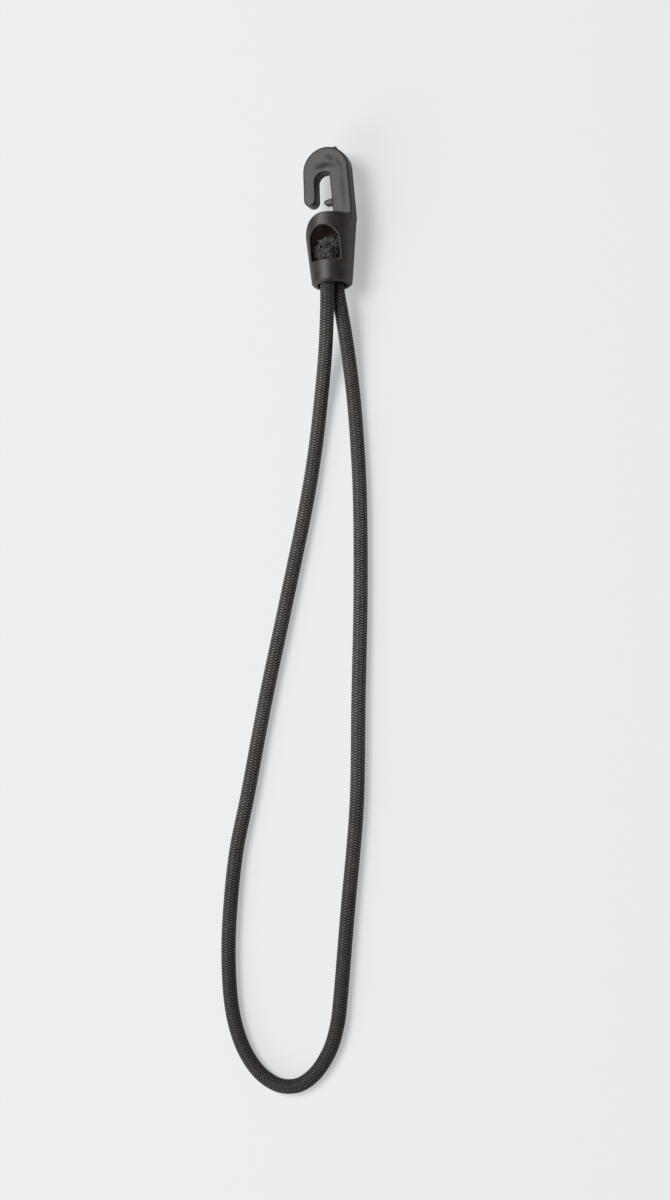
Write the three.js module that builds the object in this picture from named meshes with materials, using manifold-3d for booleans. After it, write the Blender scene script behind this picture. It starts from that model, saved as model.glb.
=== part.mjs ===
// Bungee loop: one elastic cord, doubled, with both ends held in the socket of a moulded plastic hook.
// Millimetres, +Z up. The loop lies on the plane z = 0, the hook points along +Y,
// and the origin is on that plane under the middle of the hook.
import * as THREE from 'three';
import { mergeVertices } from 'three/addons/utils/BufferGeometryUtils.js';
import Module from 'manifold-3d';

// Cord: a braided sheath round a bundle of rubber strands
const CORD_DIAMETER = 5;
const SHEATH_WALL = 0.55;
const RING_STRANDS = 6;
const STRAND_GAP = 0.2;
const CORD_SIDES = 10;
const STRAND_SIDES = 6;
const LEG_STEP = 12;
const BIGHT_STEP = 6;
// Length of cord, measured along it, that makes the round bottom of the loop
const BIGHT_LENGTH = 150;
// Gap that neighbouring pieces keep
const FIT_GAP = 0.3;
// The two cords leave the socket as a pair, turned about its axis with the left cord in front
const PAIR_TURN = THREE.MathUtils.degToRad(65);
const PAIR_GAP = 0.1;
const EXIT_RUN = 1;

// Socket of the hook: a tapered cup, open at its lower end and through a window in front
const SOCKET_LENGTH = 24.5;
const SOCKET_TAPER = THREE.MathUtils.degToRad(5.47);
const SOCKET_END_WALL = 1.9;
const SOCKET_WALL = 1.5;
const SOCKET_ROOF = 2;
const SOCKET_LIP = 3;
const SOCKET_EDGE = 0.8;
const BORE_CLEARANCE = 0.1;
const BORE_CHAMFER = 0.3;
const CHAMBER_ROUND = 5;
const SHOULDER_ROUND = 9.6;
const WINDOW_WIDTH = 10.6;
const WINDOW_SILL = 8;
const WINDOW_TOP = 19.9;

// Hook plate: a flat J that stands on the socket
const HOOK_LENGTH = 50.6;
const PLATE_THICKNESS = 5.2;
const PLATE_EDGE = 0.5;
const ARCH_RADIUS = 8.55;
const ARCH_OFFSET = -0.25;
const CROWN_THICKNESS = 9.3;
const SLOT_WIDTH = 5.4;
const SLOT_OFFSET = -1.5;
const SLOT_LEFT_ROUND = 3;
const SEAT_LAND = 0.8;
const ARM_TIP_WIDTH = 4.6;
const MOUTH_HEIGHT = 5.1;
const SHANK_LEAN = THREE.MathUtils.degToRad(3.4);
const GATE_DIAMETER = 2.4;
const GATE_HEIGHT = 0.9;
const GATE_ANGLE = THREE.MathUtils.degToRad(70);

// Spur inside the J that keeps what is hooked from slipping out
const SPUR_LENGTH = 3;
const SPUR_HEIGHT = 2.65;
const SPUR_THICKNESS = 2.8;
const SPUR_ABOVE_SOCKET = 4.9;
const SPUR_NOSE = 1.2;
const SPUR_SHOULDER = 2;
const SPUR_ROUND = 0.9;

// Swollen, frayed end of each cord, held above the socket's lip
const FRONT_TUFT_DIAMETER = 7.6;
const REAR_TUFT_DIAMETER = 5.2;
// Outline of a tuft as [radius, height], in units of its radius
const TUFT_OUTLINE = [
  [0, -1.4],
  [0.75, -1.3],
  [0.95, -0.7],
  [1, 0.05],
  [0.9, 0.5],
  [0.55, 0.86],
  [0, 1],
];

// Smoothness of the turned and extruded forms
const SOCKET_SEGMENTS = 56;
const TUFT_SEGMENTS = 14;
const ARC_SEGMENTS = 12;
const GATE_SEGMENTS = 12;
// Overshoot of a cutting shape past the face that it cuts
const CUT_OVERSHOOT = 2;
// Points closer than this are one point
const MERGE_DISTANCE = 1e-4;

const cordRadius = CORD_DIAMETER / 2;
const pairOffset = cordRadius + PAIR_GAP / 2;
const pairX = pairOffset * Math.cos(PAIR_TURN);
const pairZ = pairOffset * Math.sin(PAIR_TURN);
const boreRadius = pairOffset + cordRadius + BORE_CLEARANCE;
const socketEndRadius = boreRadius + SOCKET_END_WALL;
const socketRadiusAt = (y) => socketEndRadius + y * Math.tan(SOCKET_TAPER);
const axisHeight = socketRadiusAt(SOCKET_LENGTH);
const socketEndY = -HOOK_LENGTH / 2;

// Centre line of the free cord, from the left exit round the loop to the right exit
const exitY = socketEndY - EXIT_RUN;
const ROUTE = [
  [-pairX, exitY, axisHeight + pairZ],
  [-1.4, -32, 11.35],
  [-2.5, -39, 9.7],
  [-4.15, -47, 7.2],
  [-6.05, -55.5, 5],
  [-7.85, -64, 3.5],
  [-9.5, -73, 2.7],
  [-11.1, -82, cordRadius],
  [-14.6, -99, cordRadius],
  [-23.4, -133.5, cordRadius],
  [-32.4, -168, cordRadius],
  [-40.4, -202, cordRadius],
  [-44.7, -219, cordRadius],
  [-47.3, -236, cordRadius],
  [-48.7, -253, cordRadius],
  [-48.3, -270, cordRadius],
  [-46.6, -279.6, cordRadius],
  [-43.4, -288, cordRadius],
  [-38.4, -295, cordRadius],
  [-32.6, -299, cordRadius],
  [-28.2, -300, cordRadius],
  [-23.6, -299.4, cordRadius],
  [-18.2, -296, cordRadius],
  [-12.6, -288.4, cordRadius],
  [-9.6, -279.8, cordRadius],
  [-8.2, -271.2, cordRadius],
  [-6.2, -255.3, cordRadius],
  [-4.1, -238.6, cordRadius],
  [-1.8, -221.8, cordRadius],
  [0.1, -205, cordRadius],
  [1.9, -170.8, cordRadius],
  [3.9, -136.2, cordRadius],
  [5, -101, cordRadius],
  [4.8, -83.2, cordRadius],
  [4.05, -65.2, 2.6],
  [3.55, -56, 3.3],
  [3.05, -47.2, 4.5],
  [2.5, -39, 5.9],
  [1.75, -32, 6.75],
  [pairX, exitY, axisHeight - pairZ],
];

// Centre lines of the two held ends, in the socket's own frame: X right, Y up the axis, Z to the window
const FRONT_END = [
  [-pairX, -EXIT_RUN, pairZ],
  [-pairX, SOCKET_LIP, pairZ],
  [-1.05, 8, 2.5],
  [-1, 13.1, 2.6],
];
const REAR_END = [
  [pairX, -EXIT_RUN, -pairZ],
  [pairX, SOCKET_LIP, -pairZ],
  [0.5, 8, -3.2],
  [-0.8, 12.3, -3.8],
  [-2, 15.8, -3.9],
];

const wasm = await Module();
wasm.setup();

const blackPlastic = new THREE.MeshStandardMaterial({ color: 0x2b2a2b, roughness: 0.5, metalness: 0 });
const braidedYarn = new THREE.MeshStandardMaterial({ color: 0x222123, roughness: 0.9, metalness: 0 });
const rubber = new THREE.MeshStandardMaterial({ color: 0x3a3733, roughness: 0.8, metalness: 0 });

const vectors = (points) => points.map((point) => new THREE.Vector3(...point));

// A closed geometry as a solid that can be joined and cut
function solidOf(geometry) {
  const bare = geometry.clone();
  bare.deleteAttribute('normal');
  bare.deleteAttribute('uv');
  const merged = mergeVertices(bare, MERGE_DISTANCE);
  const triangles = [];
  for (let i = 0; i < merged.index.count; i += 3) {
    const [a, b, c] = [merged.index.getX(i), merged.index.getX(i + 1), merged.index.getX(i + 2)];
    if (a !== b && b !== c && c !== a) triangles.push(a, b, c);
  }
  return new wasm.Manifold(new wasm.Mesh({
    numProp: 3,
    vertProperties: new Float32Array(merged.attributes.position.array),
    triVerts: new Uint32Array(triangles),
  }));
}

function geometryOf(solid) {
  const mesh = solid.getMesh();
  const geometry = new THREE.BufferGeometry();
  geometry.setAttribute('position', new THREE.BufferAttribute(new Float32Array(mesh.vertProperties), 3));
  geometry.setIndex(new THREE.BufferAttribute(new Uint32Array(mesh.triVerts), 1));
  geometry.computeVertexNormals();
  return geometry;
}

// Revolve a profile of [radius, height] pairs about the socket's axis
function turned(profile, segments) {
  return new THREE.LatheGeometry(profile.map(([r, y]) => new THREE.Vector2(r, y)), segments);
}

// Extrude a shape through the given depth, centred on the plate's middle plane, with rounded edges
function slab(shape, thickness, edge) {
  const geometry = new THREE.ExtrudeGeometry(shape, {
    depth: thickness - 2 * edge,
    curveSegments: ARC_SEGMENTS,
    bevelEnabled: edge > 0,
    bevelThickness: edge,
    bevelSize: edge,
    bevelOffset: -edge,
    bevelSegments: 2,
  });
  return geometry.translate(0, 0, edge - thickness / 2);
}

// Socket: outside cone with its left shoulder rounded off
function socketBlank() {
  const cone = turned([
    [0, 0],
    [socketEndRadius - SOCKET_EDGE, 0],
    [socketRadiusAt(SOCKET_EDGE), SOCKET_EDGE],
    [socketRadiusAt(SOCKET_LENGTH), SOCKET_LENGTH],
    [0, SOCKET_LENGTH],
  ], SOCKET_SEGMENTS);
  const centreY = SOCKET_LENGTH - SHOULDER_ROUND;
  const left = -socketRadiusAt(centreY);
  const outside = axisHeight + CUT_OVERSHOOT;
  const outline = new THREE.Shape();
  outline.moveTo(left, -CUT_OVERSHOOT);
  outline.lineTo(outside, -CUT_OVERSHOOT);
  outline.lineTo(outside, SOCKET_LENGTH + CUT_OVERSHOOT);
  outline.lineTo(left + SHOULDER_ROUND, SOCKET_LENGTH + CUT_OVERSHOOT);
  outline.absarc(left + SHOULDER_ROUND, centreY, SHOULDER_ROUND, Math.PI / 2, Math.PI, false);
  return solidOf(cone).intersect(solidOf(slab(outline, 2 * outside, 0)));
}

// Socket: hole for the two cords, and the chamber above the lip
function socketHollow() {
  const ceiling = SOCKET_LENGTH - SOCKET_ROOF;
  const springY = ceiling - CHAMBER_ROUND;
  const chamberRadiusAt = (y) => socketRadiusAt(y) - SOCKET_WALL;
  const profile = [
    [0, -CUT_OVERSHOOT],
    [boreRadius + BORE_CHAMFER + CUT_OVERSHOOT, -CUT_OVERSHOOT],
    [boreRadius, BORE_CHAMFER],
    [boreRadius, SOCKET_LIP],
    [chamberRadiusAt(SOCKET_LIP), SOCKET_LIP],
  ];
  const steps = ARC_SEGMENTS / 2;
  for (let i = 0; i <= steps; i++) {
    const angle = (i / steps) * Math.PI / 2;
    const radius = chamberRadiusAt(springY) + CHAMBER_ROUND * (Math.cos(angle) - 1);
    profile.push([radius, springY + CHAMBER_ROUND * Math.sin(angle)]);
  }
  profile.push([0, ceiling]);
  return solidOf(turned(profile, SOCKET_SEGMENTS));
}

// Window: a flat sill with straight sides under a half-round arch, cut through the front wall only
function windowCut() {
  const half = WINDOW_WIDTH / 2;
  const arch = new THREE.Shape();
  arch.moveTo(-half, WINDOW_SILL);
  arch.lineTo(half, WINDOW_SILL);
  arch.absarc(0, WINDOW_TOP - half, half, 0, Math.PI, false);
  const depth = axisHeight + CUT_OVERSHOOT;
  return solidOf(slab(arch, depth, 0).translate(0, 0, depth / 2));
}

// J plate, drawn in the plane of the hook
function hookPlate() {
  const archY = HOOK_LENGTH - ARCH_RADIUS;
  const apexY = HOOK_LENGTH - CROWN_THICKNESS;
  const slotLeft = SLOT_OFFSET - SLOT_WIDTH / 2;
  const slotRight = SLOT_OFFSET + SLOT_WIDTH / 2;
  const leftRound = SLOT_LEFT_ROUND;
  const rightRound = SLOT_WIDTH - SEAT_LAND - leftRound;
  const springY = apexY - rightRound;
  const footY = SOCKET_LENGTH - SOCKET_ROOF;
  const lean = Math.tan(SHANK_LEAN);
  const outerX = ARCH_OFFSET + ARCH_RADIUS / Math.cos(SHANK_LEAN);
  const tipRadius = ARM_TIP_WIDTH / 2;
  const tipX = ARCH_OFFSET - ARCH_RADIUS + tipRadius;
  const tipY = SOCKET_LENGTH + MOUTH_HEIGHT + tipRadius;
  const outline = new THREE.Shape();
  outline.moveTo(slotRight + lean * (springY - footY), footY);
  outline.lineTo(Math.min(outerX + lean * (archY - footY), socketRadiusAt(footY)), footY);
  outline.lineTo(Math.min(outerX + lean * (archY - SOCKET_LENGTH), axisHeight), SOCKET_LENGTH);
  outline.absarc(ARCH_OFFSET, archY, ARCH_RADIUS, SHANK_LEAN, Math.PI, false);
  outline.absarc(tipX, tipY, tipRadius, Math.PI, 2 * Math.PI, false);
  outline.absarc(slotLeft + leftRound, apexY - leftRound, leftRound, Math.PI, Math.PI / 2, true);
  outline.absarc(slotRight - rightRound, springY, rightRound, Math.PI / 2, 0, true);
  return solidOf(slab(outline, PLATE_THICKNESS, PLATE_EDGE));
}

// Spur: flat underneath, sloped above, with a rounded nose
function spur() {
  const rootX = SLOT_OFFSET + SLOT_WIDTH / 2 + SPUR_HEIGHT / 2;
  const tipX = SLOT_OFFSET + SLOT_WIDTH / 2 - SPUR_LENGTH;
  const lowY = SOCKET_LENGTH + SPUR_ABOVE_SOCKET;
  const outline = new THREE.Shape();
  outline.moveTo(rootX, lowY);
  outline.lineTo(rootX, lowY + SPUR_HEIGHT);
  outline.lineTo(tipX + SPUR_ROUND, lowY + SPUR_SHOULDER);
  outline.quadraticCurveTo(tipX - SPUR_ROUND, lowY + SPUR_NOSE, tipX + SPUR_ROUND, lowY);
  return solidOf(slab(outline, SPUR_THICKNESS, PLATE_EDGE / 2));
}

// Gate mark: the low round stub that the mould leaves on the crown
function gateMark() {
  const stub = turned([
    [0, ARCH_RADIUS - GATE_DIAMETER],
    [GATE_DIAMETER / 2, ARCH_RADIUS - GATE_DIAMETER],
    [GATE_DIAMETER / 2, ARCH_RADIUS],
    [GATE_DIAMETER / 4, ARCH_RADIUS + GATE_HEIGHT],
    [0, ARCH_RADIUS + GATE_HEIGHT],
  ], GATE_SEGMENTS);
  stub.rotateZ(GATE_ANGLE - Math.PI / 2);
  return solidOf(stub.translate(ARCH_OFFSET, HOOK_LENGTH - ARCH_RADIUS, 0));
}

function hookGeometry() {
  const body = socketBlank().add(hookPlate()).add(spur()).add(gateMark());
  return geometryOf(body.subtract(socketHollow()).subtract(windowCut()));
}

// A length of the whole cord between two distances measured along it
class Stretch extends THREE.Curve {
  constructor(whole, from, to) {
    super();
    this.whole = whole;
    this.from = from / whole.getLength();
    this.to = to / whole.getLength();
  }

  getPoint(t, target = new THREE.Vector3()) {
    return this.whole.getPointAt(this.from + t * (this.to - this.from), target);
  }
}

function polygon(sides, radius, centreX = 0, centreY = 0) {
  return Array.from({ length: sides }, (_, i) => {
    const angle = (2 * Math.PI * i) / sides;
    return new THREE.Vector2(centreX + radius * Math.cos(angle), centreY + radius * Math.sin(angle));
  });
}

function swept(shape, path, steps) {
  return new THREE.ExtrudeGeometry(shape, { extrudePath: path, steps });
}

// Sheath section, and the sections of the strands that fill it: one in the middle, the rest round it
const sheathBore = cordRadius - SHEATH_WALL;
const sheathSection = new THREE.Shape(polygon(CORD_SIDES, cordRadius));
sheathSection.holes.push(new THREE.Path(polygon(CORD_SIDES, sheathBore)));
const strandDiameter = (2 * sheathBore * Math.cos(Math.PI / CORD_SIDES) - 4 * STRAND_GAP) / 3;
const strandCentres = [new THREE.Vector2(), ...polygon(RING_STRANDS, strandDiameter + STRAND_GAP)];
const strandSections = strandCentres.map(
  (centre) => new THREE.Shape(polygon(STRAND_SIDES, strandDiameter / 2, centre.x, centre.y)),
);

const bungee = new THREE.Group();

function addPiece(parent, name, geometry, material) {
  const mesh = new THREE.Mesh(geometry, material);
  mesh.name = name;
  parent.add(mesh);
}

// One stretch of cord: its sheath and its strands
function addCord(name, path, step) {
  const steps = Math.round(path.getLength() / step);
  addPiece(bungee, `${name}_sheath`, swept(sheathSection, path, steps), braidedYarn);
  strandSections.forEach((section, i) => {
    addPiece(bungee, `${name}_strand_${i + 1}`, swept(section, path, steps), rubber);
  });
}

// One held end: the cord up through the bore, swelling into a rounded tuft
function cordEnd(points, tuftDiameter) {
  const path = new THREE.CatmullRomCurve3(vectors(points));
  const stem = swept(new THREE.Shape(polygon(CORD_SIDES, cordRadius)), path, 2 * points.length);
  const radius = tuftDiameter / 2;
  const tuft = turned(TUFT_OUTLINE.map(([r, y]) => [r * radius, y * radius]), TUFT_SEGMENTS);
  const tip = path.getPoint(1);
  const along = path.getTangent(1);
  tuft.applyQuaternion(new THREE.Quaternion().setFromUnitVectors(new THREE.Vector3(0, 1, 0), along));
  tuft.translate(tip.x, tip.y, tip.z);
  return geometryOf(solidOf(stem).add(solidOf(tuft)));
}

const socketFrame = new THREE.Group();
socketFrame.position.set(0, socketEndY, axisHeight);
bungee.add(socketFrame);
addPiece(socketFrame, 'hook', hookGeometry(), blackPlastic);
addPiece(socketFrame, 'left_cord_end', cordEnd(FRONT_END, FRONT_TUFT_DIAMETER), braidedYarn);
addPiece(socketFrame, 'right_cord_end', cordEnd(REAR_END, REAR_TUFT_DIAMETER), braidedYarn);

const cord = new THREE.CatmullRomCurve3(vectors(ROUTE));
cord.arcLengthDivisions = 2000;
const cordLength = cord.getLength();
const bightStart = (cordLength - BIGHT_LENGTH) / 2;
const bightEnd = bightStart + BIGHT_LENGTH;
addCord('left_leg', new Stretch(cord, FIT_GAP, bightStart - FIT_GAP / 2), LEG_STEP);
addCord('bight', new Stretch(cord, bightStart + FIT_GAP / 2, bightEnd - FIT_GAP / 2), BIGHT_STEP);
addCord('right_leg', new Stretch(cord, bightEnd + FIT_GAP / 2, cordLength - FIT_GAP), LEG_STEP);

export default bungee;
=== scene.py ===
# %% [markdown]
# A bungee loop, dressed for its portrait
#
# The object is a length of black shock cord, doubled into a loop, whose two ends are held in the
# socket of a moulded plastic hook. The engineering model already fixes every size and joint.
# This lesson loads that model as a frame and gives each piece the surface that the real one has.

# %% Load the frame
import math
import random

import bmesh
import bpy
from mathutils import Matrix, Quaternion, Vector, noise
from mathutils.geometry import interpolate_bezier


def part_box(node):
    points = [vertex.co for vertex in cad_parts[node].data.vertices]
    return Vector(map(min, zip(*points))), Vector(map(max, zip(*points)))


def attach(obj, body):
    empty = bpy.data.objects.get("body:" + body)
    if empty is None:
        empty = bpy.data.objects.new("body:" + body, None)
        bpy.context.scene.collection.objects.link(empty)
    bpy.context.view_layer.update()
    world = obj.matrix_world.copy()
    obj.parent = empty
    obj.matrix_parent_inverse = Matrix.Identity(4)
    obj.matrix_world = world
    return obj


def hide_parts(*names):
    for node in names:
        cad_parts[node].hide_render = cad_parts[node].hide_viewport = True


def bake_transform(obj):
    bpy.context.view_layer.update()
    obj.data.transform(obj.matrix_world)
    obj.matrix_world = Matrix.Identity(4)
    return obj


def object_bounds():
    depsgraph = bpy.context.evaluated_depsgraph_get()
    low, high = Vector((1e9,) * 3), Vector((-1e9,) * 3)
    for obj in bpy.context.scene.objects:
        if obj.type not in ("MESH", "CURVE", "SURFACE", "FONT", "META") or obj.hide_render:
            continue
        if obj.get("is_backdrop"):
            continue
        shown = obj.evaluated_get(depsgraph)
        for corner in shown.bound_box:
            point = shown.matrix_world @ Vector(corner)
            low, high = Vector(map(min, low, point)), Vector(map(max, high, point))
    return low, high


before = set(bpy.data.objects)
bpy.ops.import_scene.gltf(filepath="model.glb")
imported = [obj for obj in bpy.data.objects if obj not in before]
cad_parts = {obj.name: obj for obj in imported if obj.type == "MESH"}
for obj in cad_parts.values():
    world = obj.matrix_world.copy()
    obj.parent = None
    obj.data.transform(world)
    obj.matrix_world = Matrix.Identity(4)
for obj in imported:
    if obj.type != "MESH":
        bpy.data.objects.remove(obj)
cad_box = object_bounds()
MM = 0.001
hook_low, hook_high = (Vector(corner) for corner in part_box("hook"))
AXIS_Z = (hook_low.z + hook_high.z) / 2
SOCKET_END_Y = hook_low.y
hook_length = hook_high.y - hook_low.y
print("the hook is", round(hook_length / MM, 1), "mm long, and its axis", round(AXIS_Z / MM, 2), "mm high")


# %% [markdown]
# Two small helpers
#
# Points inside the socket are easiest to write in its own frame: X across, Y up the axis from the open
# end, and Z out of the window, in millimetres. The other helper turns a finished bmesh into an object
# that sits at the origin, with smooth shading and its materials.

# %% Helpers
def in_socket(x, y, z):
    return Vector((x * MM, SOCKET_END_Y + y * MM, AXIS_Z + z * MM))


def make_piece(bm, name, *materials):
    mesh = bpy.data.meshes.new(name)
    bm.to_mesh(mesh)
    bm.free()
    mesh.polygons.foreach_set("use_smooth", [True] * len(mesh.polygons))
    for material in materials:
        mesh.materials.append(material)
    piece = bpy.data.objects.new(name, mesh)
    bpy.context.collection.objects.link(piece)
    print(name, "has", len(mesh.polygons), "faces")
    return piece


print("the socket's open end is at", [round(v, 4) for v in in_socket(0, 0, 0)])


# %% [markdown]
# The camera
#
# The loop is seen from above, a little from its right and from its round end. The middle of the picture
# is a spot on the floor between the two legs. The camera is placed by a direction and a distance from
# that spot, which is easier to adjust than three angles, and rolled by two degrees, since the hook leans.

# %% Camera
LOOK_AT = Vector((-0.0064, -0.1349, 0.0))
TOWARD_CAMERA = Vector((0.345, -0.18, 0.921)).normalized()
CAMERA_DISTANCE = 0.8911
CAMERA_ROLL = math.radians(1.9)
CAMERA_LENS = 77.13
CAMERA_SENSOR = 36

up_the_loop = Vector((0, 1, 0))
camera_up = (up_the_loop - up_the_loop.project(TOWARD_CAMERA)).normalized()
camera_up.rotate(Quaternion(TOWARD_CAMERA, -CAMERA_ROLL))
camera_turn = Matrix((camera_up.cross(TOWARD_CAMERA), camera_up, TOWARD_CAMERA)).transposed()
camera = bpy.data.objects.new("camera", bpy.data.cameras.new("camera"))
camera.data.sensor_fit = "VERTICAL"
camera.data.sensor_height = CAMERA_SENSOR
camera.data.lens = CAMERA_LENS
camera.matrix_world = Matrix.LocRotScale(LOOK_AT + CAMERA_DISTANCE * TOWARD_CAMERA, camera_turn, None)
bpy.context.collection.objects.link(camera)
bpy.context.scene.camera = camera
print("camera at", [round(v, 4) for v in camera.location])


# %% [markdown]
# Shader maths in plain Python
#
# A material is a graph of nodes, and long graphs of Math nodes are hard to read. The Shade class wraps
# one value that varies over a surface, and each operator adds its Math node. Finish holds the nodes of
# one material, or of the world, and every other node comes from its one node method.

# %% Shader maths
class Shade:
    def __init__(self, finish, socket):
        self.finish = finish
        self.socket = socket

    def __add__(self, other):
        return self.finish.math("ADD", self, other)

    def __sub__(self, other):
        return self.finish.math("SUBTRACT", self, other)

    def __rsub__(self, other):
        return self.finish.math("SUBTRACT", other, self)

    def __mul__(self, other):
        return self.finish.math("MULTIPLY", self, other)

    def __truediv__(self, other):
        return self.finish.math("DIVIDE", self, other)

    def __rtruediv__(self, other):
        return self.finish.math("DIVIDE", other, self)

    def __abs__(self):
        return self.finish.math("ABSOLUTE", self)

    __radd__ = __add__
    __rmul__ = __mul__


# %% Nodes of one finish
class Finish:
    def __init__(self, owner):
        self.owner = owner
        owner.use_nodes = True
        self.tree = owner.node_tree
        self.shader = self.tree.nodes.get("Principled BSDF")

    def feed(self, socket, value):
        value = value.socket if isinstance(value, Shade) else value
        if isinstance(value, bpy.types.NodeSocket):
            self.tree.links.new(value, socket)
        else:
            socket.default_value = value

    def node(self, kind, settings=None, inputs=None):
        made = self.tree.nodes.new(kind)
        for key, value in (settings or {}).items():
            setattr(made, key, value)
        for key, value in (inputs or {}).items():
            self.feed(made.inputs[key], value)
        return made

    def surface(self, **values):
        for key, value in values.items():
            self.feed(self.shader.inputs[key.replace("_", " ")], value)

    def math(self, operation, *terms):
        made = self.node("ShaderNodeMath", {"operation": operation}, dict(enumerate(terms)))
        return Shade(self, made.outputs[0])

    def hypot(self, first, second):
        return self.math("SQRT", first * first + second * second)

    def where(self, coordinates):
        return self.node("ShaderNodeTexCoord").outputs[coordinates]

    def axes(self, coordinates):
        parts = self.node("ShaderNodeSeparateXYZ", None, {0: self.where(coordinates)})
        return [Shade(self, part) for part in parts.outputs]

    def noise(self, scale, detail, roughness):
        inputs = {"Vector": self.where("Object"), "Scale": scale, "Detail": detail, "Roughness": roughness}
        return Shade(self, self.node("ShaderNodeTexNoise", None, inputs).outputs[0])

    def ramp(self, value, low, high):
        settings = {"interpolation_type": "SMOOTHSTEP"}
        inputs = {"Value": value, "From Min": low, "From Max": high}
        return Shade(self, self.node("ShaderNodeMapRange", settings, inputs).outputs[0])

    def mix(self, factor, first, second):
        made = self.node("ShaderNodeMix", {"data_type": "RGBA"}, {0: factor, 6: first, 7: second})
        return made.outputs[2]

    def bump(self, height):
        made = self.node("ShaderNodeBump", None, {"Height": height, "Distance": 1.0, "Strength": 1.0})
        return made.outputs["Normal"]


def grey(level, warmth=0.0):
    """A grey whose red is lifted, and whose blue is lowered half as much."""
    return (level * (1 + warmth), level, level * (1 - warmth / 2), 1)


print("a warm grey:", [round(part, 3) for part in grey(0.1, 0.2)])


# %% [markdown]
# The braid
#
# Shock cord wears a sheath of black yarn, braided round rubber that was stretched. When the rubber
# relaxes, the yarns crowd together until they run almost straight round the cord. Two families of
# yarn climb in opposite directions, each over one and under one, so the surface is a field of small
# diamonds. The finish follows the piece's UV map, where u counts turns and v counts rows of yarn.
# Rubbing fades the raised yarn to grey, and the sunk yarn between is painted near black, which is painted
# shade in the gaps. The bend, the cord beside the socket and the right leg near it are painted blacker too:
# painted shade, where less light reaches them. This is written on Object coordinates, since it follows the
# loop and not the yarn.

# %% Braid finish
YARNS_EACH_WAY = 5
YARN_UNDERPASS = 0.4
FILAMENT_RATE = 30
YARN_BLACK = grey(0.004, 0.1)
YARN_FADED = grey(0.2, 0.09)
YARN_BUMP = 0.07 * MM
FILAMENT_BUMP = 0.012 * MM
FUZZ_BUMP = 0.03 * MM
# Where and how strongly painted shade darkens the cord: the bend, the socket's mouth and the right leg near
# it.
BEND_Y = (-0.305, -0.15)
RIGHT_LEG_Y = (-0.11, -0.035)
EXIT_Y = (-0.045, -0.0255)
RIGHT_LEG_X = (0.0, 0.002)
BEND_SHADE = 0.7
MOUTH_SHADE = 0.45


def braid_relief(finish):
    """The height of the yarn on top, from 0 to about 1, and the ripple of its filaments."""
    turns, rows, _ = finish.axes("UV")
    climb = rows + YARNS_EACH_WAY * turns
    fall = rows - YARNS_EACH_WAY * turns
    climb_on_top = finish.math("PINGPONG", finish.math("FLOOR", climb) + finish.math("FLOOR", fall), 1.0)
    climb_ridge = finish.math("SINE", math.pi * finish.math("FRACT", climb))
    fall_ridge = finish.math("SINE", math.pi * finish.math("FRACT", fall))
    climb_yarn = climb_ridge * (YARN_UNDERPASS + (1 - YARN_UNDERPASS) * fall_ridge)
    fall_yarn = fall_ridge * (YARN_UNDERPASS + (1 - YARN_UNDERPASS) * climb_ridge)
    height = climb_on_top * climb_yarn + (1 - climb_on_top) * fall_yarn
    climb_ripple = finish.math("SINE", FILAMENT_RATE * climb)
    fall_ripple = finish.math("SINE", FILAMENT_RATE * fall)
    return height, climb_on_top * climb_ripple + (1 - climb_on_top) * fall_ripple


def painted_cord_shade(finish):
    """How much painted shade darkens the cord: at the bend, at the socket, and on the right leg near it."""
    x, y, _ = finish.axes("Object")
    by_bend = 1 - finish.ramp(y, *BEND_Y)
    by_right_leg = finish.ramp(y, *RIGHT_LEG_Y) * finish.ramp(x, *RIGHT_LEG_X)
    by_mouth = finish.math("MAXIMUM", by_right_leg, finish.ramp(y, *EXIT_Y))
    return finish.math("MAXIMUM", BEND_SHADE * by_bend, MOUTH_SHADE * by_mouth)


def braided_yarn():
    finish = Finish(bpy.data.materials.new("braided_black_yarn"))
    height, ripple = braid_relief(finish)
    fuzz = finish.noise(scale=700, detail=3.0, roughness=0.6)
    wear = finish.noise(scale=60, detail=3.0, roughness=0.6)
    # Raised yarn is painted lighter and sunk yarn near black: partly rubbing wear on the crowns, partly
    # painted shade in the gaps between yarns.
    light = finish.ramp(height + 0.5 * (fuzz - 0.5) + 0.3 * (wear - 0.5) + 0.05 * ripple, 0.3, 1.1)
    # The cord is painted darker at the bend, by the socket and on the right leg near it: painted shade.
    light = light * (1 - painted_cord_shade(finish))
    finish.surface(
        Base_Color=finish.mix(light, YARN_BLACK, YARN_FADED),
        Roughness=0.75 - 0.15 * light,
        Normal=finish.bump(YARN_BUMP * height + FILAMENT_BUMP * ripple + FUZZ_BUMP * fuzz),
    )
    return finish.owner


braid = braided_yarn()
print("the braid's finish has", len(braid.node_tree.nodes), "nodes")


# %% [markdown]
# The path of the cord
#
# The cord lies on the floor and rises to the socket at both ends, on the same route as in the
# engineering model. A smooth curve runs through the points, and is then divided into equal steps,
# because rows of yarn are equally spaced.

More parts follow.
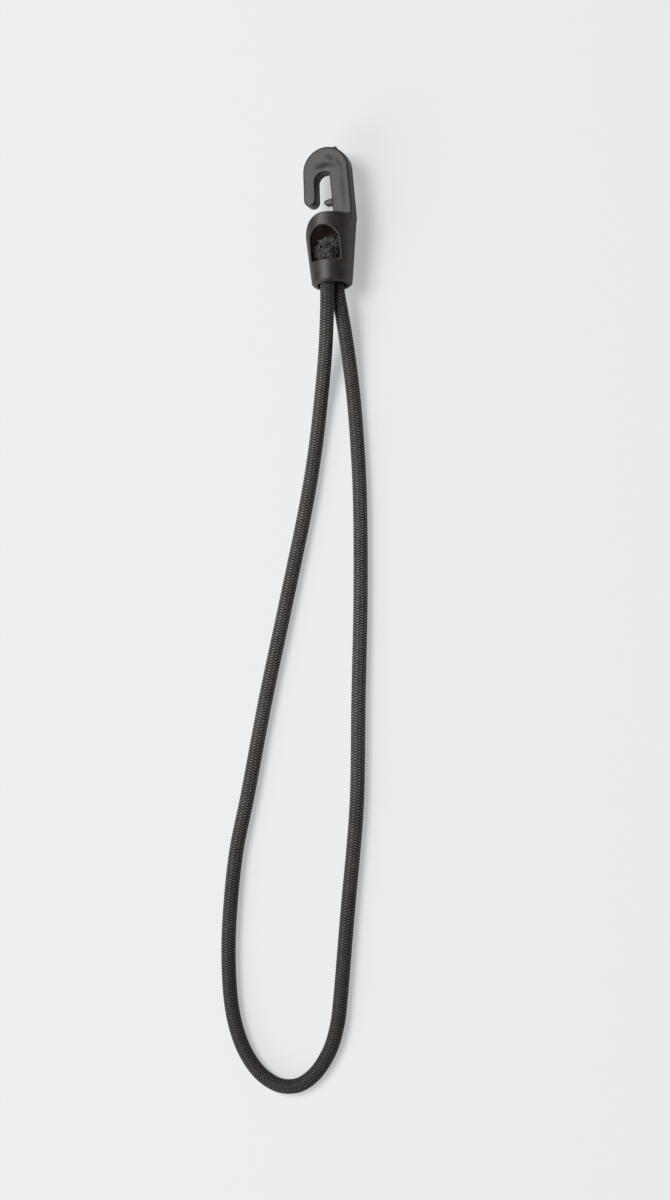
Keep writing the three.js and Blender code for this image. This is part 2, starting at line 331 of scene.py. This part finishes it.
# %% Route
CORD_DIAMETER = 5 * MM
CORD_RADIUS = CORD_DIAMETER / 2
PAIR_GAP = 0.1 * MM
PAIR_TURN = math.radians(65)
HELD_LENGTH = 6 * MM
EXIT_RUN = 1
LYING = CORD_RADIUS / MM
ROUTE_MM = [
    (-1.4, -32, 11.35), (-2.5, -39, 9.7), (-4.15, -47, 7.2), (-6.05, -55.5, 5), (-7.85, -64, 3.5),
    (-9.5, -73, 2.7), (-11.1, -82, LYING), (-14.6, -99, LYING), (-23.4, -133.5, LYING), (-32.4, -168, LYING),
    (-40.4, -202, LYING), (-44.7, -219, LYING), (-47.3, -236, LYING), (-48.7, -253, LYING),
    (-48.3, -270, LYING), (-46.6, -279.6, LYING), (-43.4, -288, LYING), (-38.4, -295, LYING),
    (-32.6, -299, LYING), (-28.2, -300, LYING), (-23.6, -299.4, LYING), (-18.2, -296, LYING),
    (-12.6, -288.4, LYING), (-9.6, -279.8, LYING), (-8.2, -271.2, LYING), (-6.2, -255.3, LYING),
    (-4.1, -238.6, LYING), (-1.8, -221.8, LYING), (0.1, -205, LYING), (1.9, -170.8, LYING),
    (3.9, -136.2, LYING), (5, -101, LYING), (4.8, -83.2, LYING), (4.05, -65.2, 2.6),
    (3.55, -56, 3.3), (3.05, -47.2, 4.5), (2.5, -39, 5.9), (1.75, -32, 6.75),
]
pair_offset = (CORD_RADIUS + PAIR_GAP / 2) / MM
pair_x = pair_offset * math.cos(PAIR_TURN)
pair_z = pair_offset * math.sin(PAIR_TURN)
left_exit = in_socket(-pair_x, -EXIT_RUN, pair_z)
right_exit = in_socket(pair_x, -EXIT_RUN, -pair_z)
into_socket = Vector((0, HELD_LENGTH, 0))
route = [left_exit + into_socket, left_exit]
route += [Vector(point) * MM for point in ROUTE_MM]
route += [right_exit, right_exit + into_socket]
print("the route has", len(route), "points")


# %% Smooth and even paths
CHORDS_PER_STRETCH = 24


def smooth_path(points):
    """A centripetal curve through the points, as many short chords."""
    padded = [2 * points[0] - points[1], *points, 2 * points[-1] - points[-2]]
    path = [points[0]]
    for before, start, end, after in zip(padded, padded[1:], padded[2:], padded[3:]):
        chords = (before, start), (start, end), (end, after)
        back, here, on = (math.sqrt((q - p).length) for p, q in chords)
        leave = (start - before) / back - (end - before) / (back + here) + (end - start) / here
        arrive = (end - start) / here - (after - start) / (here + on) + (after - end) / on
        handles = start + leave * here / 3, end - arrive * here / 3
        path += interpolate_bezier(start, *handles, end, CHORDS_PER_STRETCH)[1:]
    return path


def path_length(path):
    return sum((q - p).length for p, q in zip(path, path[1:]))


def even_path(points, steps):
    """The smooth path through the points, cut into that many equal steps."""
    fine = smooth_path(points)
    step = path_length(fine) / steps
    path = [fine[0]]
    travelled = 0.0
    for start, end in zip(fine, fine[1:]):
        chord = (end - start).length
        while len(path) < steps and travelled + chord >= step * len(path):
            path.append(start.lerp(end, (step * len(path) - travelled) / chord))
        travelled += chord
    return path + [fine[-1]]


cord_length = path_length(smooth_path(route))
print("cord between its held ends:", round(cord_length, 4), "m")


# %% [markdown]
# Wrapping a braid round a path
#
# A tube can be extruded ring by ring, but a braid needs thousands of rings. A flat grid is faster: its
# x is one turn round the cord and its y is the way along. While it is flat, the UV map is simply x and y.
# Then each vertex is carried to its place round the path and lifted where a yarn crosses over, so
# the knobbly surface is real and shows along the outline.

# %% Braided tube
CORD_SIDES = 32
RINGS_PER_ROW = 4
YARN_ROW = 0.95 * MM
YARN_LIFT = 0.15 * MM
SUNK_SHARE = 0.75
SEAM_WELD = 0.01 * MM


def untwisted(path):
    """One rotation for each point, whose Z runs along the path and which never spins about it."""
    ahead = [(q - p).normalized() for p, q in zip(path, path[1:])]
    ahead.append(ahead[-1])
    turns = [ahead[0].to_track_quat("Z", "X")]
    for before, after in zip(ahead, ahead[1:]):
        turns.append(before.rotation_difference(after) @ turns[-1])
    return turns


def braid_lift(turns, rows):
    """How far the yarn stands above the cord's nominal radius; most of its relief is sunk below it."""
    climb = math.sin(math.pi * (rows + YARNS_EACH_WAY * turns))
    fall = math.sin(math.pi * (rows - YARNS_EACH_WAY * turns))
    return YARN_LIFT * (abs(climb * fall) - SUNK_SHARE)


def braided_tube(bm, path):
    steps = len(path) - 1
    spins = untwisted(path)
    uv_map = bm.loops.layers.uv.verify()
    flat = bmesh.ops.create_grid(bm, x_segments=CORD_SIDES, y_segments=steps, size=0.5)["verts"]
    for face in {face for vert in flat for face in vert.link_faces}:
        for loop in face.loops:
            across, along, _ = loop.vert.co
            loop[uv_map].uv = across + 0.5, (along + 0.5) * steps / RINGS_PER_ROW
    for vert in flat:
        turns = vert.co.x + 0.5
        ring = round((vert.co.y + 0.5) * steps)
        radius = CORD_RADIUS + braid_lift(turns, ring / RINGS_PER_ROW)
        spoke = Vector((math.cos(math.tau * turns), math.sin(math.tau * turns), 0))
        vert.co = path[ring] + spins[ring] @ (radius * spoke)
    bmesh.ops.remove_doubles(bm, verts=flat, dist=SEAM_WELD)
    bmesh.ops.holes_fill(bm, edges=[edge for edge in bm.edges if edge.is_boundary], sides=0)


yarn_rows = round(cord_length / YARN_ROW)
print("the loop has", yarn_rows, "rows of yarn")


# %% [markdown]
# The loop of cord
#
# One braided tube is the whole loop, from inside the socket round to inside the socket again. It could be
# cut where the legs meet the bend, but cuts would open when the loop is pulled.

# %% Cord
cord_path = even_path(route, RINGS_PER_ROW * yarn_rows)
bm = bmesh.new()
braided_tube(bm, cord_path)
cord = make_piece(bm, "braided_cord", braid)
cord_nodes = [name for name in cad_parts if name.startswith(("left_leg", "right_leg", "bight"))]
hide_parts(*cord_nodes)
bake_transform(cord)
print("the cord stands for", len(cord_nodes), "solids")


# %% [markdown]
# The frayed yarn
#
# Where the cord is cut, the yarns spring loose. They are the same black fibre, but fluffed out, so they
# scatter more light than the tight braid and look greyer. The UV map of a loose strand holds its own
# tone in u and the way from its root to its tip in v, so each strand differs and its root is dark.

# %% Frayed finish
FRAYED_DARK = grey(0.012, 0.06)
FRAYED_LIGHT = grey(0.19, 0.05)
FIBRE_BUMP = 0.06 * MM


def frayed_yarn():
    finish = Finish(bpy.data.materials.new("frayed_black_yarn"))
    tone, along, _ = finish.axes("UV")
    fibres = finish.noise(scale=5200, detail=3.0, roughness=0.6)
    light = finish.ramp(0.5 * tone + 0.5 * along + 0.5 * (fibres - 0.5), 0.1, 1.0)
    finish.surface(
        Base_Color=finish.mix(light, FRAYED_DARK, FRAYED_LIGHT),
        Roughness=0.95 - 0.1 * light,
        Normal=finish.bump(FIBRE_BUMP * fibres),
    )
    return finish.owner


frayed = frayed_yarn()
print("the frayed finish has", len(frayed.node_tree.nodes), "nodes")


# %% [markdown]
# A loose strand
#
# A loose yarn springs into a curl. It could be a bevelled curve, but hundreds of curves are slow. So one
# strand is made as a mesh, by spinning a small ring about an axis beside it, and then copied. It has five
# sides and seven rings, so a whole tuft of copies stays light.

# %% Loose strand
STRAND_SIDES = 5
STRAND_STEPS = 6
STRAND_RADIUS = 0.13 * MM
CURL_RADIUS = 1.2 * MM
CURL_ANGLE = math.radians(100)


def loose_strand():
    """A curled strand that leaves the origin along Z and leans over to X; v runs from root to tip."""
    bm = bmesh.new()
    uv_map = bm.loops.layers.uv.new("UVMap")
    bmesh.ops.create_circle(bm, segments=STRAND_SIDES, radius=STRAND_RADIUS)
    curl_centre = Vector((CURL_RADIUS, 0, 0))
    bmesh.ops.spin(
        bm, geom=bm.edges[:], cent=curl_centre, axis=(0, 1, 0), angle=CURL_ANGLE, steps=STRAND_STEPS
    )
    bmesh.ops.holes_fill(bm, edges=[edge for edge in bm.edges if edge.is_boundary], sides=0)
    bmesh.ops.recalc_face_normals(bm, faces=bm.faces)
    for face in bm.faces:
        for loop in face.loops:
            spoke = loop.vert.co - curl_centre
            loop[uv_map].uv = 0, math.atan2(spoke.z, -spoke.x) / CURL_ANGLE
    mesh = bpy.data.meshes.new("loose_strand")
    bm.to_mesh(mesh)
    bm.free()
    print("a strand has", len(mesh.polygons), "faces")
    return mesh


strand_shape = loose_strand()


# %% [markdown]
# A tuft of yarn
#
# The cut end swells into a tuft: an egg of matted yarn, which hundreds of loose strands roughen. The egg
# is a fine icosphere, pushed in and out by smooth noise. The strands are spread evenly over it by
# the golden angle, which leaves no rows, and then jostled with seeded random numbers, so that
# the tuft is the same each time the script runs. The same noise sets the tones, so clumps differ.

# %% Strands
YARN_SLOT = 1
LUMP_SIZE = 1.3 * MM
dice = random.Random(7)


def add_strand(bm, root, aim, size, tone):
    bm.from_mesh(strand_shape)
    bm.verts.ensure_lookup_table()
    made = bm.verts[-len(strand_shape.vertices):]
    spin = Quaternion((0, 0, 1), dice.uniform(0, math.tau))
    place = Matrix.LocRotScale(root, aim.to_track_quat("Z", "Y") @ spin, Vector((size, size, size)))
    bmesh.ops.transform(bm, matrix=place, verts=made)
    uv_map = bm.loops.layers.uv.active
    for face in {face for vert in made for face in vert.link_faces}:
        face.material_index = YARN_SLOT
        for loop in face.loops:
            loop[uv_map].uv.x = tone


def scatter(spread):
    return Vector((dice.gauss(0, spread), dice.gauss(0, spread), dice.gauss(0, spread)))


def lump(point):
    """Smooth noise from about -1 to 1 at the scale of a clump of yarn."""
    return noise.noise(point / LUMP_SIZE)


print("clumps of yarn are about", round(LUMP_SIZE / MM, 1), "mm across")


# %% Tuft
GOLDEN_ANGLE = math.pi * (3 - math.sqrt(5))
EGG_STRETCH = 1.17
EGG_SHARE = 0.9
EGG_SUBDIVISIONS = 5
LUMP_HEIGHT = 0.75 * MM
LUMP_TONE = 1.4
MEAN_TONE = 0.3
ROOT_JOSTLE = 0.06
STRAND_TILT = 0.8
STRAND_SINK = 0.1 * MM
STRAND_SIZES = (0.6, 1.1)
STRAND_TONES = (-0.1, 0.25)


def lumpy_egg(bm, place, centre, tone):
    matted = bmesh.ops.create_icosphere(bm, subdivisions=EGG_SUBDIVISIONS, radius=1.0, matrix=place)["verts"]
    uv_map = bm.loops.layers.uv.active
    for face in {face for vert in matted for face in vert.link_faces}:
        face.material_index = YARN_SLOT
        for loop in face.loops:
            loop[uv_map].uv = tone + MEAN_TONE + LUMP_TONE * lump(loop.vert.co), 0.5
    for vert in matted:
        vert.co += (vert.co - centre).normalized() * LUMP_HEIGHT * lump(vert.co)


def yarn_tuft(bm, centre, radius, heading, strands, tone):
    """A lumpy egg of matted yarn and the loose strands that lie on it."""
    face_heading = heading.to_track_quat("Z", "Y")
    egg = Vector((1, 1, EGG_STRETCH)) * (radius * EGG_SHARE)
    place = Matrix.LocRotScale(centre, face_heading, egg)
    lumpy_egg(bm, place, centre, tone)
    for i in range(strands):
        height = 1 - 2 * (i + 0.5) / strands
        ring = math.sqrt(1 - height * height)
        angle = i * GOLDEN_ANGLE
        out = Vector((ring * math.cos(angle), ring * math.sin(angle), height)) + scatter(ROOT_JOSTLE)
        root = place @ out
        root += (root - centre).normalized() * (LUMP_HEIGHT * lump(root) - STRAND_SINK)
        aim = (face_heading @ out + scatter(STRAND_TILT)).normalized()
        strand_tone = tone + MEAN_TONE + LUMP_TONE * lump(root) + dice.uniform(*STRAND_TONES)
        add_strand(bm, root, aim, dice.uniform(*STRAND_SIZES), strand_tone)


print("a strand is rooted every", round(math.degrees(GOLDEN_ANGLE), 1), "degrees round the egg")


# %% [markdown]
# The two held ends
#
# Each end of the cord passes up the socket on a short braided stem and ends in a tuft that can't slip
# back. The front one faces the window, and the rear one shows behind it. The hook turns round
# the cord, so whatever would touch the wall of the chamber is pressed in a little.

# %% Cord ends
STEM_STEPS = 24
CHAMBER_RADIUS = 5.55 * MM
SOCKET_SLOPE = 0.0958
TUFT_CLEARANCE = 0.15 * MM


def keep_in_chamber(verts):
    """Press in whatever would touch the wall of the socket when the hook turns."""
    for vert in verts:
        room = CHAMBER_RADIUS + SOCKET_SLOPE * (vert.co.y - SOCKET_END_Y) - TUFT_CLEARANCE
        outward = Vector((vert.co.x, 0, vert.co.z - AXIS_Z))
        excess = max(outward.length - room, 0)
        vert.co -= excess * outward.normalized()


def held_end(name, node, points, tuft_radius, strands, tone):
    path = even_path([in_socket(*point) for point in points], STEM_STEPS)
    bm = bmesh.new()
    bm.loops.layers.uv.new("UVMap")
    braided_tube(bm, path)
    yarn_tuft(bm, path[-1], tuft_radius, path[-1] - path[-3], strands, tone)
    keep_in_chamber(bm.verts)
    piece = make_piece(bm, name, braid, frayed)
    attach(piece, "cord")
    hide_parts(node)
    return piece


front_end = held_end(
    "front_cord_end",
    "left_cord_end",
    points=[(-pair_x, 3, pair_z), (-0.6, 8, 2.5), (-0.2, 12.0, 2.6)],
    tuft_radius=3.4 * MM,
    strands=900,
    tone=0.05,
)
# The rear tuft is given a much lighter tone than the front one, to lift it where it lies deep in the
# chamber's shade: painted light.
rear_end = held_end(
    "rear_cord_end",
    "right_cord_end",
    points=[(pair_x, 3, -pair_z), (0.5, 8, -3.2), (0, 12.3, -3.7), (-0.3, 15.9, -3.4)],
    tuft_radius=2.6 * MM,
    strands=450,
    tone=0.65,
)


in_socket(-pair_x, 0, pair_z)
print("the cord is", round(cord_length, 3), "m long and leaves the socket at both ends")


# %% [markdown]
# Marks on the flat of the hook
#
# Thick plastic shrinks as it cools, so the crown and the shank have dull, shallow sinks, and one light fleck
# lies on the crown. Each sink is a soft ellipse. They could be modelled, but they are only hundredths of a
# millimetre deep, so roughness and a little bump show them better. The finish also paints the sinks up to
# half darker, which is painted shade.

# %% Sinks and fleck
# Each sink: centre x and y, angle in degrees, half length, half width, depth from 0 to 1
SINKS_MM = [
    (-1.5, 43.7, 9, 4.6, 1.7, 0.85),
    (1.6, 43.6, -6, 3.6, 1.3, 0.45),
    (1.6, 46.4, -38, 2.7, 1.6, 0.5),
    (4.8, 43.9, -63, 4.0, 1.2, 0.45),
    (6.05, 34.8, -87.5, 11.0, 1.4, 0.38),
]
FLECK_MM = (0.93, 44.79)
FLECK_RADIUS = 0.4 * MM


def sink_marks(finish, x, y):
    sinks = 0.0
    for centre_x, centre_y, angle, length, width, depth in SINKS_MM:
        centre = in_socket(centre_x, centre_y, 0)
        across, up = math.cos(math.radians(angle)), math.sin(math.radians(angle))
        along = ((x - centre.x) * across + (y - centre.y) * up) / (length * MM)
        aside = ((y - centre.y) * across - (x - centre.x) * up) / (width * MM)
        sinks = sinks + depth * (1 - finish.ramp(finish.hypot(along, aside), 0.0, 1.0))
    return sinks


def light_fleck(finish, x, y):
    centre = in_socket(*FLECK_MM, 0)
    right, up = (x - centre.x) / FLECK_RADIUS, (y - centre.y) / FLECK_RADIUS
    return 1 - finish.ramp(right * right + up * up, 0.2, 1.0)


print(len(SINKS_MM), "sinks and a fleck of", round(2 * FLECK_RADIUS / MM, 1), "mm")


# %% [markdown]
# Painted fill in the chamber, and a painted highlight on the rim
#
# A pale brown is painted on the inside of the socket, so that its shaded chamber isn't quite black: painted
# light. A lighter grey is painted along the right side of the window, where the rounded rim catches the
# light: painted highlight. Both are masks worked out from the socket's own form: its tapered chamber with a
# rounded roof, and the outline of its arched window.

# %% Socket masks
CHAMBER_Y = (3.0 * MM, 22.6 * MM)
ROOF_SPRING = 17.5 * MM
ROOF_ROUND = 5 * MM
CHAMBER_FILL_REACH = 0.2 * MM
CHAMBER_FILL_EDGE = 0.4 * MM
WINDOW_HALF = 5.3 * MM
WINDOW_SILL = 8 * MM
WINDOW_SPRING = 14.6 * MM
BEAD_START_X = 2.5 * MM
BEAD_FULL_X = 5 * MM
HIGHLIGHT_FROM_RIM = 0.1 * MM
HIGHLIGHT_EDGE = (0.1 * MM, 0.45 * MM)
HIGHLIGHT_FRONT_Z = (AXIS_Z + 2 * MM, AXIS_Z + 3 * MM)
HIGHLIGHT_OUTSIDE = (-0.6 * MM, -0.9 * MM)


def inside_chamber(finish, x, up_socket, z):
    """How far a point lies inside a skin just behind the chamber's wall; outside is negative."""
    over_roof = finish.math("MAXIMUM", up_socket - ROOF_SPRING, 0.0)
    under_roof = finish.math("MAXIMUM", ROOF_ROUND ** 2 - over_roof * over_roof, 0.0)
    roof = finish.math("SQRT", under_roof) - ROOF_ROUND
    up_wall = finish.math("MINIMUM", up_socket, ROOF_SPRING)
    skin = CHAMBER_RADIUS + CHAMBER_FILL_REACH + SOCKET_SLOPE * up_wall + roof
    return skin - finish.hypot(x, z - AXIS_Z)


# A mask for the pale brown painted inside the chamber, which lifts its shade from black: painted light.
def painted_chamber_fill(finish, up_socket, inside):
    low, high = CHAMBER_Y
    above_lip = finish.ramp(up_socket, low, low + CHAMBER_FILL_EDGE)
    below_roof = 1 - finish.ramp(up_socket, high - CHAMBER_FILL_EDGE, high)
    return finish.ramp(inside, 0.0, CHAMBER_FILL_REACH) * above_lip * below_roof


# A lighter grey along the right side of the window, where the rounded rim catches the light: painted
# highlight.
def painted_rim_highlight(finish, x, up_socket, z, inside):
    over_spring = finish.math("MAXIMUM", up_socket - WINDOW_SPRING, 0.0)
    beside = finish.hypot(x, over_spring) - WINDOW_HALF
    off_rim = finish.math("MAXIMUM", beside, WINDOW_SILL - up_socket)
    near_rim = 1 - finish.ramp(abs(off_rim - HIGHLIGHT_FROM_RIM), *HIGHLIGHT_EDGE)
    on_right = finish.ramp(x, BEAD_START_X, BEAD_FULL_X)
    in_front = finish.ramp(z, *HIGHLIGHT_FRONT_Z)
    outside = finish.ramp(inside, *HIGHLIGHT_OUTSIDE)
    return near_rim * on_right * in_front * outside


print("the window is", round(2 * WINDOW_HALF / MM, 1), "mm wide")
print("the chamber is", round((CHAMBER_Y[1] - CHAMBER_Y[0]) / MM, 1), "mm high")


# %% [markdown]
# The moulded plastic
#
# The hook is black engineering plastic straight from the mould: satin, with a very fine grain, a
# faint cloudiness, and a hairline seam where the two halves of the mould met. All of it is written on
# Object coordinates, in metres, so it needs no UV map and stays on the hook when that turns.

# %% Plastic finish
SEAM_HALF = 0.12 * MM
MARKED_Z = (AXIS_Z + 1.5 * MM, AXIS_Z + 2.2 * MM)
PLASTIC_DARK = grey(0.016, 0.24)
PLASTIC_LIGHT = grey(0.03, 0.22)
RIM_HIGHLIGHT_GREY = grey(0.11, 0.1)
FLECK_GREY = grey(0.16, 0.05)
CHAMBER_FILL_BROWN = (0.53, 0.43, 0.35, 1)


def moulded_plastic():
    finish = Finish(bpy.data.materials.new("moulded_black_plastic"))
    x, y, z = finish.axes("Object")
    up_socket = y - SOCKET_END_Y
    grain = finish.noise(scale=2600, detail=3.0, roughness=0.6)
    speckle = finish.noise(scale=1300, detail=2.0, roughness=0.5)
    cloud = finish.noise(scale=330, detail=4.0, roughness=0.55)
    seam = finish.math("MAXIMUM", 1 - abs((z - AXIS_Z) / SEAM_HALF), 0.0)
    front = finish.ramp(z, *MARKED_Z)
    sinks = sink_marks(finish, x, y) * front * (0.5 + cloud)
    fleck = light_fleck(finish, x, y) * front
    inside = inside_chamber(finish, x, up_socket, z)
    # The inside of the chamber is painted pale brown to lift it where it lies in shade: painted light.
    chamber_fill = painted_chamber_fill(finish, up_socket, inside)
    # The right side of the window's rim is painted lighter grey: painted highlight.
    rim_highlight = painted_rim_highlight(finish, x, up_socket, z, inside)
    # The sinks also darken the colour by up to half: painted shade, on top of their real dullness and dip in
    # roughness and bump.
    light = finish.ramp(cloud, 0.3, 0.75) * (1 - 0.5 * sinks)
    rim_lit = finish.mix(rim_highlight, finish.mix(light, PLASTIC_DARK, PLASTIC_LIGHT), RIM_HIGHLIGHT_GREY)
    flecked = finish.mix(fleck, rim_lit, FLECK_GREY)
    finish.surface(
        Base_Color=finish.mix(chamber_fill * (0.4 + cloud), flecked, CHAMBER_FILL_BROWN),
        Roughness=0.32 + 0.12 * cloud + 0.12 * speckle + 0.05 * grain + 0.33 * sinks + 0.3 * chamber_fill,
        Normal=finish.bump(MM * (0.010 * grain + 0.02 * cloud + 0.03 * seam - 0.06 * sinks + 0.08 * fleck)),
    )
    return finish.owner


plastic = moulded_plastic()
print("the plastic's finish has", len(plastic.node_tree.nodes), "nodes")


# %% [markdown]
# The hook
#
# The frame already holds the hook's exact form, with crisp facets. A mould leaves no crisp edge, so
# the piece starts as a merged copy of that solid. A voxel remesh wraps it in an even skin, and a few
# rounds of smoothing give every edge the small radius of a real moulding. The rim of the window gets
# more rounds, and a fine bead stands along its right side, where the core slid out of the mould.
# At the end the skin is thinned where it is flat.

# %% Skin helpers
FACET_WELD = 0.001 * MM
SKIN_VOXEL = 0.18 * MM
SKIN_ROUNDS = 10
SKIN_SHARE = 0.6
RIM_ROUNDS = 4
RIM_REACH = 1.2 * MM
BEAD_HEIGHT = 0.2 * MM
BEAD_WIDTH = 0.3 * MM
BEAD_FROM_RIM = 0.2 * MM


def from_rim(point):
    """How far a point lies outside the outline of the window, seen from the front; inside is negative."""
    above_end = point.y - SOCKET_END_Y
    if above_end > WINDOW_SPRING:
        return math.hypot(point.x, above_end - WINDOW_SPRING) - WINDOW_HALF
    return max(abs(point.x) - WINDOW_HALF, WINDOW_SILL - above_end)


def with_modifier(bm, kind, **settings):
    """The bmesh after one modifier."""
    draft = make_piece(bm, "draft")
    modifier = draft.modifiers.new(kind, kind)
    for key, value in settings.items():
        setattr(modifier, key, value)
    ready = draft.evaluated_get(bpy.context.evaluated_depsgraph_get())
    changed = bmesh.new()
    changed.from_mesh(ready.to_mesh())
    ready.to_mesh_clear()
    bpy.data.objects.remove(draft)
    return changed


def soften(bm, verts, rounds):
    for _ in range(rounds):
        bmesh.ops.smooth_vert(bm, verts=verts, factor=0.5, use_axis_x=True, use_axis_y=True, use_axis_z=True)


def raise_bead(verts):
    """Lift a fine bead along the right of the window, fading out towards its middle."""
    for vert in verts:
        off_crest = (from_rim(vert.co) - BEAD_FROM_RIM) / BEAD_WIDTH
        fade = min(max((vert.co.x - BEAD_START_X) / (BEAD_FULL_X - BEAD_START_X), 0), 1)
        outward = Vector((vert.co.x, 0, vert.co.z - AXIS_Z)).normalized()
        vert.co += outward * BEAD_HEIGHT * fade * math.exp(-off_crest * off_crest)


print("the skin is wrapped in steps of", round(SKIN_VOXEL / MM, 2), "mm")


# %% Hook
def moulded_copy(node, name, material):
    bm = bmesh.new()
    bm.from_mesh(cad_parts[node].data)
    bmesh.ops.remove_doubles(bm, verts=bm.verts, dist=FACET_WELD)
    bm = with_modifier(bm, "REMESH", mode="VOXEL", voxel_size=SKIN_VOXEL)
    soften(bm, bm.verts[:], SKIN_ROUNDS)
    rim = [vert for vert in bm.verts if vert.co.z > AXIS_Z and abs(from_rim(vert.co)) < RIM_REACH]
    soften(bm, rim, RIM_ROUNDS)
    raise_bead([vert for vert in rim if vert.co.z > AXIS_Z + CORD_DIAMETER])
    bm = with_modifier(bm, "DECIMATE", ratio=SKIN_SHARE)
    return make_piece(bm, name, material)


hook = moulded_copy("hook", "moulded_hook", plastic)
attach(hook, "hook")
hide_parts("hook")


# %% [markdown]
# The floor
#
# The loop lies on a plain pale floor. Part of its colour is given to camera rays as it is, so it
# looks even, and the rest is lit, so it keeps the shadow. Far from the loop the floor fades into
# a surround of its own colour, so that no horizon shows from a low angle.

# %% Floor
FLOOR_COLOUR = (0.831, 0.839, 0.847, 1)
FLOOR_GLOW = 0.5
FLOOR_MIRRORED = 0.1
FLOOR_HALF = 20
FLOOR_Z = -0.1 * MM
FLOOR_FADE = (0.4, 1.3)


def pale_floor():
    finish = Finish(bpy.data.materials.new("pale_floor"))
    finish.surface(Base_Color=FLOOR_COLOUR, Roughness=0.9, Specular_IOR_Level=0.0)
    ray = finish.node("ShaderNodeLightPath").outputs
    x, y, _ = finish.axes("Object")
    far = finish.ramp(finish.hypot(x, y), *FLOOR_FADE)
    seen = (FLOOR_GLOW + (1 - FLOOR_GLOW) * far) * Shade(finish, ray["Is Camera Ray"])
    mirrored = FLOOR_GLOW * FLOOR_MIRRORED * Shade(finish, ray["Is Glossy Ray"])
    through = FLOOR_GLOW * Shade(finish, ray["Is Transmission Ray"])
    glowing = finish.math("MAXIMUM", finish.math("MAXIMUM", seen, mirrored), through)
    glow = finish.node("ShaderNodeEmission", None, {"Color": FLOOR_COLOUR, "Strength": 1.0})
    sheet = {0: glowing, 1: finish.shader.outputs[0], 2: glow.outputs[0]}
    mixed = finish.node("ShaderNodeMixShader", None, sheet)
    finish.feed(finish.tree.nodes["Material Output"].inputs["Surface"], mixed.outputs[0])
    return finish.owner


bm = bmesh.new()
under_braid = Matrix.Translation((0, 0, FLOOR_Z))
bmesh.ops.create_grid(bm, x_segments=1, y_segments=1, size=FLOOR_HALF, matrix=under_braid)
floor = make_piece(bm, "floor", pale_floor())
floor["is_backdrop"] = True


# %% [markdown]
# The light
#
# Two soft boxes stand on the loop's left. The high one is mirrored in the flat front of the hook, which
# makes the satin plastic grey and not black. The low one, beyond the round end, lights the outer side
# of the bend. A dim even surround keeps the shadows open. At this level, a white card would
# render close to white.

# %% Studio
BOX_DISTANCE = 3.2
SURROUND = 0.1


def soft_box(direction, size, power):
    toward = Vector(direction).normalized()
    lamp = bpy.data.lights.new("soft_box", "AREA")
    lamp.shape = "SQUARE"
    lamp.size = size
    lamp.energy = power
    holder = bpy.data.objects.new("soft_box", lamp)
    place = LOOK_AT + toward * BOX_DISTANCE
    holder.matrix_world = Matrix.LocRotScale(place, toward.to_track_quat("Z", "Y"), None)
    bpy.context.collection.objects.link(holder)
    print("a soft box of", size, "m and", power, "W")


def surround():
    finish = Finish(bpy.data.worlds.new("surround"))
    seen = finish.node("ShaderNodeLightPath").outputs["Is Camera Ray"]
    background = finish.tree.nodes["Background"]
    finish.feed(background.inputs["Color"], finish.mix(seen, grey(SURROUND), FLOOR_COLOUR))
    return finish.owner


soft_box(direction=(-0.345, 0.17, 0.92), size=1.85, power=90)
soft_box(direction=(-0.62, -0.62, 0.48), size=2.0, power=44)
bpy.context.scene.world = surround()
bpy.context.scene.view_settings.view_transform = "Standard"


# %% [markdown]
# Measure and close
#
# The dressed loop must keep the size of the engineering model, so both boxes are written side by side.

# %% Finish
new_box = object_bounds()
boxes = {
    "cad": [list(corner) for corner in cad_box],
    "visual": [list(corner) for corner in new_box],
}
print("sizes in mm:", {name: [round((b - a) / MM, 1) for a, b in zip(*box)] for name, box in boxes.items()})
